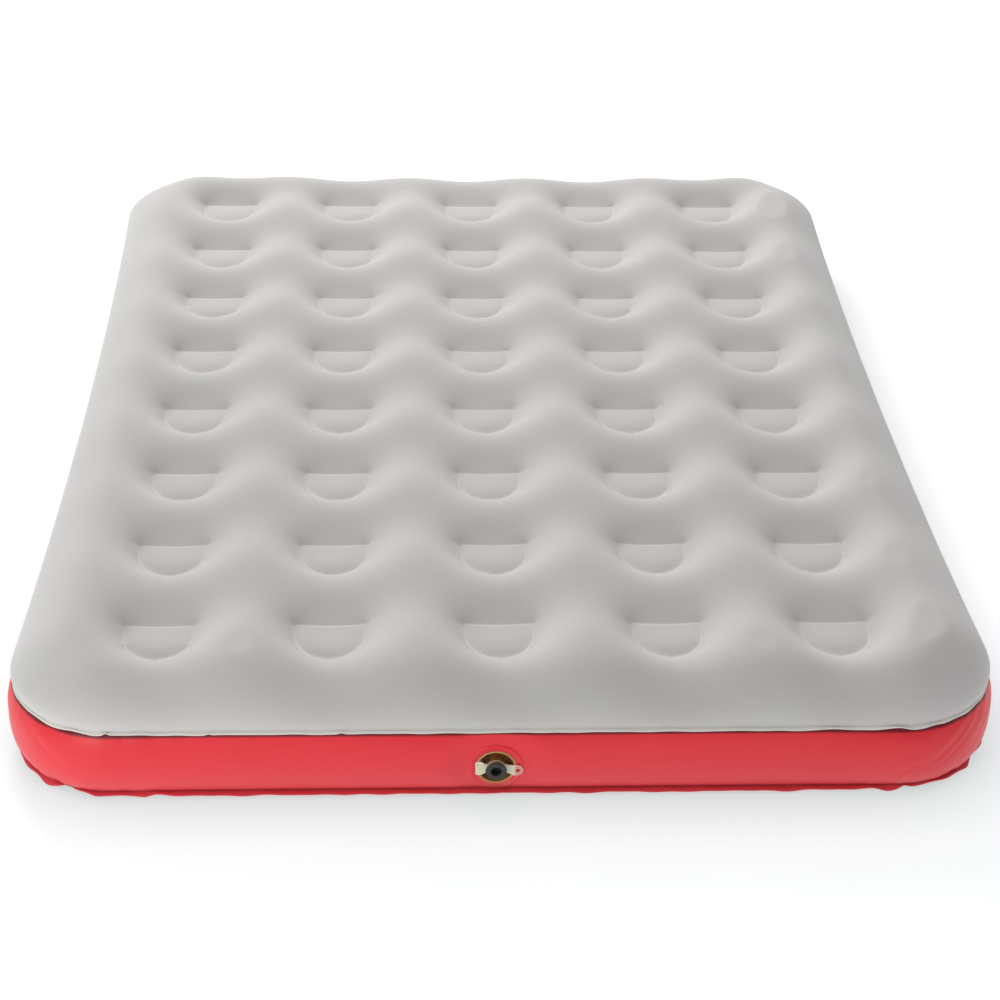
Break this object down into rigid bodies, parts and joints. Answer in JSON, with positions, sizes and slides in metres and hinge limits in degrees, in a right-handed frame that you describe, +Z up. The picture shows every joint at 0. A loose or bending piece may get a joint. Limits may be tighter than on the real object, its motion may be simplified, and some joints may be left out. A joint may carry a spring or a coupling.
{
  "type": "air mattress",
  "caption": "Flocked coil-beam air bed with a coloured side band, a weld-dimpled sleeping surface and a stopper valve on a strap, with a one-way flap, in the foot end.",
  "frame": {"origin": "on the floor under the middle of the bed", "axes": "+Z up, +Y from the valve end to the other end, +X across the bed to the right as seen from the valve end"},
  "size_m": [1.52, 1.9818, 0.196],
  "materials": {
    "grey_flock": "short flock on PVC, matt",
    "red_vinyl": "soft satin PVC film",
    "coil_film": "plain PVC film",
    "clear_vinyl": "milky translucent soft PVC",
    "amber_vinyl": "amber translucent PVC",
    "black_rubber": "satin black"
  },
  "bodies": {
    "bed": {"top_sheet": "grey_flock", "side_wall": "red_vinyl", "valve_panel": "red_vinyl", "bottom_sheet": "red_vinyl", "valve_collar": "clear_vinyl", "valve_body": "amber_vinyl", "strap_root": "clear_vinyl", "flap_anchor": "clear_vinyl", "flap_rivet": "clear_vinyl", "coil_beam_r1_c1": "coil_film", "coil_beam_r1_c2": "coil_film", "coil_beam_r1_c3": "coil_film", "coil_beam_r1_c4": "coil_film", "coil_beam_r1_c5": "coil_film", "coil_beam_r2_c1": "coil_film", "coil_beam_r2_c2": "coil_film", "coil_beam_r2_c3": "coil_film", "coil_beam_r2_c4": "coil_film", "coil_beam_r2_c5": "coil_film", "coil_beam_r3_c1": "coil_film", "coil_beam_r3_c2": "coil_film", "coil_beam_r3_c3": "coil_film", "coil_beam_r3_c4": "coil_film", "coil_beam_r3_c5": "coil_film", "coil_beam_r4_c1": "coil_film", "coil_beam_r4_c2": "coil_film", "coil_beam_r4_c3": "coil_film", "coil_beam_r4_c4": "coil_film", "coil_beam_r4_c5": "coil_film", "coil_beam_r5_c1": "coil_film", "coil_beam_r5_c2": "coil_film", "coil_beam_r5_c3": "coil_film", "coil_beam_r5_c4": "coil_film", "coil_beam_r5_c5": "coil_film", "coil_beam_r6_c1": "coil_film", "coil_beam_r6_c2": "coil_film", "coil_beam_r6_c3": "coil_film", "coil_beam_r6_c4": "coil_film", "coil_beam_r6_c5": "coil_film", "coil_beam_r7_c1": "coil_film", "coil_beam_r7_c2": "coil_film", "coil_beam_r7_c3": "coil_film", "coil_beam_r7_c4": "coil_film", "coil_beam_r7_c5": "coil_film", "coil_beam_r8_c1": "coil_film", "coil_beam_r8_c2": "coil_film", "coil_beam_r8_c3": "coil_film", "coil_beam_r8_c4": "coil_film", "coil_beam_r8_c5": "coil_film"},
    "stopper": {"stopper_strap": "clear_vinyl", "stopper_plug": "amber_vinyl", "stopper_cap": "black_rubber"},
    "tab": {"pull_tab": "clear_vinyl"},
    "flap": {"check_flap": "clear_vinyl"}
  },
  "joints": [
    {"name": "stopper_swing", "type": "hinge", "parent": "bed", "child": "stopper", "pos_m": [-0.045, -0.982, 0.05], "axis": [0, 0, -1], "range_deg": [0, 125]},
    {"name": "tab_lift", "type": "hinge", "parent": "stopper", "child": "tab", "pos_m": [0.009, -0.982, 0.05], "axis": [0, 0, -1], "range_deg": [0, 70], "stiffness_Nm_per_rad": 0.002},
    {"name": "flap_open", "type": "hinge", "parent": "bed", "child": "flap", "pos_m": [-0.018, -0.9543, 0.0654], "axis": [1, 0, 0], "range_deg": [0, 65], "stiffness_Nm_per_rad": 0.002}
  ]
}
